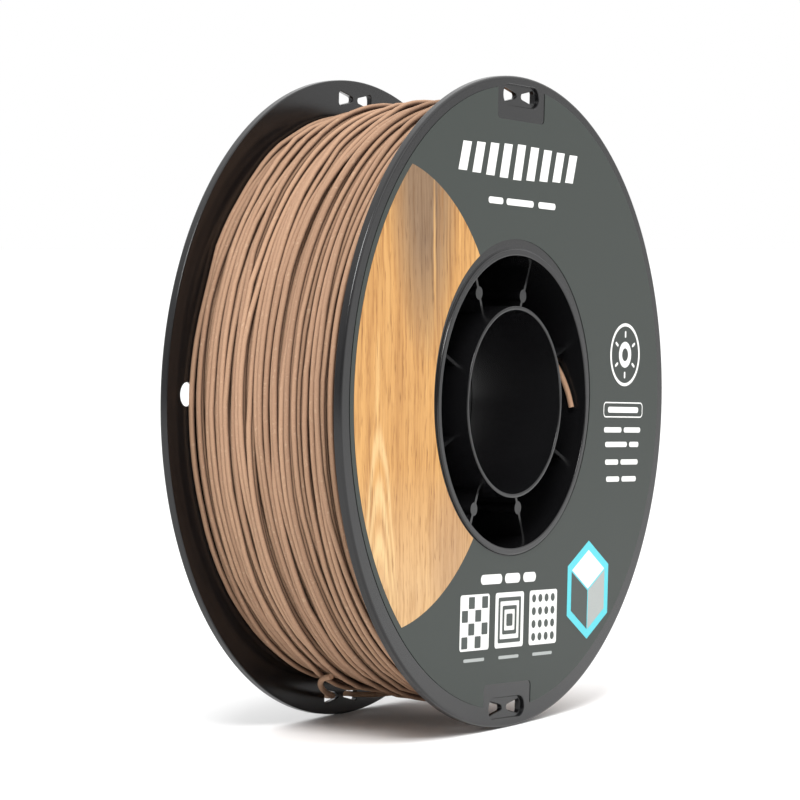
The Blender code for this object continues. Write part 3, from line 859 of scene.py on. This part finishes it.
def artwork(white, dark, cyan, soft):
    """Plain shapes where the real label has its print: stripes, bars, tiles and a block."""
    made = []

    def put(name, outline, mat=white, layer=1, cuts=()):
        made.append(label_piece(name, outline, mat, layer, cuts))

    for k in range(9):
        tall = 11.0 - 0.55 * abs(k - 4)
        put(f"print_stripe_{k}", slanted(-37.5 + k * 8.3, 73.6 - tall / 2, 5.0, tall, 2.6))
    for k, (x, w) in enumerate(((-15.5, 9), (-0.5, 17), (16.5, 11))):
        put(f"print_dash_{k}", bar(x + 1, 61.2, w, 2.0))

    ring = (72.2, 16.0)
    put("print_ring_outer", circle(*ring, 10.2, 96), cuts=[circle(*ring, 9.2, 96)])
    put("print_ring_inner", circle(*ring, 4.2, 64), cuts=[circle(*ring, 2.1, 48)])
    for k in range(6):
        put(f"print_spoke_{k}", moved(turned(bar(6.6, 0, 2.2, 0.9), 60 * k + 30), *ring))

    badge = (71.8, -1.9)
    inner = rounded_box(*badge, 26.2, 4.2, 1.2)
    put("print_badge", rounded_box(*badge, 27, 5, 1.6), cuts=[inner])
    put("print_badge_bar", bar(*badge, 21, 1.9))
    rows = ((-8.4, 12, 11.5), (-13.1, 15, 6.5), (-18.8, 9, 12), (-24.3, 9, 10))
    for k, (z, w0, w1) in enumerate(rows):
        left = 71.5 - (w0 + w1 + 1.6) / 2
        put(f"print_row_{k}_a", bar(left + w0 / 2, z, w0, 1.7))
        put(f"print_row_{k}_b", bar(left + w0 + 1.6 + w1 / 2, z, w1, 1.7))

    for k, (x, w) in enumerate(((-11.5, 13), (1.5, 9.5), (12.2, 8))):
        put(f"print_heading_{k}", bar(x, -54.2, w, 3.0))

    for k, x in enumerate((-21.2, 0.1, 21.4)):
        put(f"print_tile_{k}", rounded_box(x, -67.0, 17.6, 17.0, 1.0))
        put(f"print_caption_{k}", bar(x, -78.4, 12.5, 1.0), soft)
    for i in range(4):
        for j in range(4):
            if (i + j) % 2 == 0:
                check = rounded_box(-27.2 + 4 * i, -73.0 + 4 * j, 3.6, 3.6, 0.3, 2)
                put(f"print_check_{i}{j}", check, dark, 2)
    for k, r in enumerate((7.0, 4.4, 1.9)):
        cuts = [rounded_box(0.1, -67.0, 2 * r - 2.4, 2 * r - 2.4, 0.3, 2)] if k < 2 else ()
        put(f"print_square_{k}", rounded_box(0.1, -67.0, 2 * r, 2 * r, 0.5, 3), dark, 2, cuts)
    for i in range(4):
        for j in range(4):
            put(f"print_dot_{i}{j}", circle(15.4 + 4 * i, -73.0 + 4 * j, 1.25, 24), dark, 2)

    # A plain block drawn from three faces.
    at, size = (50.5, -59.5), 14.0
    corner = [
        (size * np.sin(np.radians(60 * k)), size * np.cos(np.radians(60 * k))) for k in range(6)
    ]
    outer = [(x * 1.12, z * 1.12) for x, z in corner]
    put("print_block_edge", moved(outer, *at), cyan)
    gap = 0.35
    faces = (((5, 0, 1), white), ((1, 2, 3), soft), ((3, 4, 5), dark))
    for k, (face, mat) in enumerate(faces):
        quad = [corner[face[0]], corner[face[1]], corner[face[2]], (0.0, 0.0)]
        mid = np.mean(quad, axis=0)
        quad = [tuple(mid + (np.array(q) - mid) * (1 - gap / 7)) for q in quad]
        quad = moved([(x * 0.93, z * 0.93) for x, z in quad], *at)
        put(f"print_block_face_{k}", quad, mat, 2)
    return made


# Stage


CAMERA_SIDE = (-0.85399, -0.51844, 0.04350)  # from the spool towards the camera
CAMERA_AT, CAMERA_LENS = (-0.97301, -0.58108, 0.04923), 163.6


def camera():
    """A low view from the left of the printed face, through a long lens."""
    back = Vector(CAMERA_SIDE)
    cam = bpy.data.cameras.new("camera")
    cam.lens = CAMERA_LENS
    cam.sensor_width = 36.0
    cam.clip_start, cam.clip_end = 0.05, 200.0
    ob = bpy.data.objects.new("camera", cam)
    bpy.context.scene.collection.objects.link(ob)
    ob.location = CAMERA_AT
    ob.rotation_mode = "QUATERNION"
    ob.rotation_quaternion = (-back).to_track_quat("-Z", "Y")
    bpy.context.scene.camera = ob


def area_light(name, at, look, size, power, colour=(1, 1, 1)):
    lamp = bpy.data.lights.new(name, "AREA")
    lamp.shape = "RECTANGLE"
    lamp.size, lamp.size_y = size
    lamp.energy = power
    lamp.color = colour
    ob = bpy.data.objects.new(name, lamp)
    bpy.context.scene.collection.objects.link(ob)
    ob.location = at
    ob.rotation_mode = "QUATERNION"
    ob.rotation_quaternion = (Vector(look) - Vector(at)).to_track_quat("-Z", "Y")


def surroundings():
    """A white room, brighter overhead and dim behind the camera, so edges facing it stay dark."""
    world = bpy.data.worlds.new("studio")
    bpy.context.scene.world = world
    world.use_nodes = True
    tree = world.node_tree

    def node(kind, **settings):
        made = tree.nodes.new(kind)
        for key, value in settings.items():
            setattr(made, key, value)
        return made

    def math(operation, a, b, c=0.0):
        made = node("ShaderNodeMath", operation=operation, use_clamp=True)
        for socket, value in zip(made.inputs, (a, b, c)):
            if isinstance(value, bpy.types.NodeSocket):
                tree.links.new(value, socket)
            else:
                socket.default_value = value
        return made.outputs[0]

    way = node("ShaderNodeTexCoord").outputs["Generated"]
    apart = node("ShaderNodeSeparateXYZ")
    tree.links.new(way, apart.inputs[0])
    facing = node("ShaderNodeVectorMath", operation="DOT_PRODUCT")
    tree.links.new(way, facing.inputs[0])
    facing.inputs[1].default_value = CAMERA_SIDE
    dim = math("MULTIPLY_ADD", facing.outputs["Value"], 0.9, 0.05)
    dim = math("MULTIPLY", dim, 0.74)
    over = math("MULTIPLY_ADD", apart.outputs["Z"], 1.25, -0.15)
    level = node("ShaderNodeMath", operation="MULTIPLY_ADD")
    tree.links.new(over, level.inputs[0])
    level.inputs[1].default_value = 0.80
    level.inputs[2].default_value = 1.0
    final = node("ShaderNodeMath", operation="SUBTRACT")
    tree.links.new(level.outputs[0], final.inputs[0])
    tree.links.new(dim, final.inputs[1])
    back = tree.nodes["Background"]
    back.inputs["Color"].default_value = (1, 1, 1, 1)
    tree.links.new(final.outputs[0], back.inputs["Strength"])


def studio():
    surroundings()
    bm = bmesh.new()
    bmesh.ops.create_circle(bm, cap_ends=True, segments=96, radius=60.0)
    floor = from_bmesh("floor", bm)
    floor.location.z = -RIM_R * MM - 0.0001
    n = Nodes("floor_white")
    shade = n.noise(n.coords(), 1.4, 2.0)
    white = n.mix(shade, (0.88, 0.88, 0.88, 1), (0.90, 0.90, 0.90, 1))
    dress(floor, n.finish(Base_Color=white, Roughness=1.0, Specular_IOR_Level=0.0))

    area_light("key_box", (-0.95, -0.50, 1.05), (0, 0, 0), (0.55, 0.55), 20)
    area_light("front_box", (0.5, -1.5, 0.9), (0, 0, 0), (0.9, 0.9), 5)
    view = bpy.context.scene.view_settings
    view.view_transform = "Standard"
    view.look = "None"


# Assembly

camera()
plastic = black_plastic()
strand_mat = filament_wood()

front = moulding("front_moulding", -1, plastic)
rear = moulding("rear_moulding", 1, plastic)
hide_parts("front_half")
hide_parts("rear_half")

turns = winding(strand_mat)
core = winding_core(filament_wood("filament_shade", 0.5))
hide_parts("filament_winding")

right, left = slot_middle(1), slot_middle(-1)
outside = FACE_Y + 0.2
free_knots = [
    below(24.82, -0.15, 28.4),
    below(15.54, 0.18, 19.9),
    below(6.97, 0.56, 10.9),
    (right[0] + 0.6, FACE_Y - 4.9, right[1] - 0.1),
    (right[0], outside - 1.5, right[1]),
    (right[0] - 1.6, outside + 1.6, right[1]),
    ((right[0] + left[0]) / 2, outside + 2.8, (right[1] + left[1]) / 2),
    (left[0] + 1.6, outside + 1.6, left[1]),
    (left[0], outside - 1.5, left[1]),
    (left[0] - 3.2, FACE_Y - 5.2, left[1] + 0.6),
    below(-22.0, -0.5, 8.0),
    below(-30.8, -0.75, 11.6),
    below(-38.0, -0.7, 15.6),
    below(-42.8, -0.7, 19.6),
    below(-45.0, -0.6, 23.4),
]
free_end, free_path = strand_end("filament_loose_end", free_knots, strand_mat)
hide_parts("filament_free_end")

tail_knots = [
    on_wall(TAIL_ANGLE, -1.8, 9.9),
    on_wall(TAIL_ANGLE, 0.4, 9.7),
    on_wall(TAIL_ANGLE - 1.5, 1.5, 8.4),
    on_wall(7.4, 1.5, 6.5),
    on_wall(1.3, 1.5, 4.8),
    on_wall(-4.5, 1.4, 3.6),
]
tail, _ = strand_end("filament_inner_tail", tail_knots, strand_mat)
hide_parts("filament_inner_end")

film = label(label_film())
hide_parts("front_label")
panel = wood_panel(wood_print())
prints = artwork(
    ink("ink_white", (0.78, 0.78, 0.76)),
    ink("ink_dark", (0.055, 0.065, 0.06)),
    ink("ink_cyan", (0.10, 0.55, 0.62)),
    ink("ink_grey", (0.36, 0.38, 0.37)),
)

for piece, slot in (
    [(front, "spool_plastic"), (rear, "spool_plastic"), (film, "label_film"), (panel, "label_film")]
    + [(p, "label_film") for p in prints]
    + [(t, "filament") for t in turns]
    + [(core, "filament"), (free_end, "filament"), (tail, "filament")]
):
    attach(piece, "root")

studio()
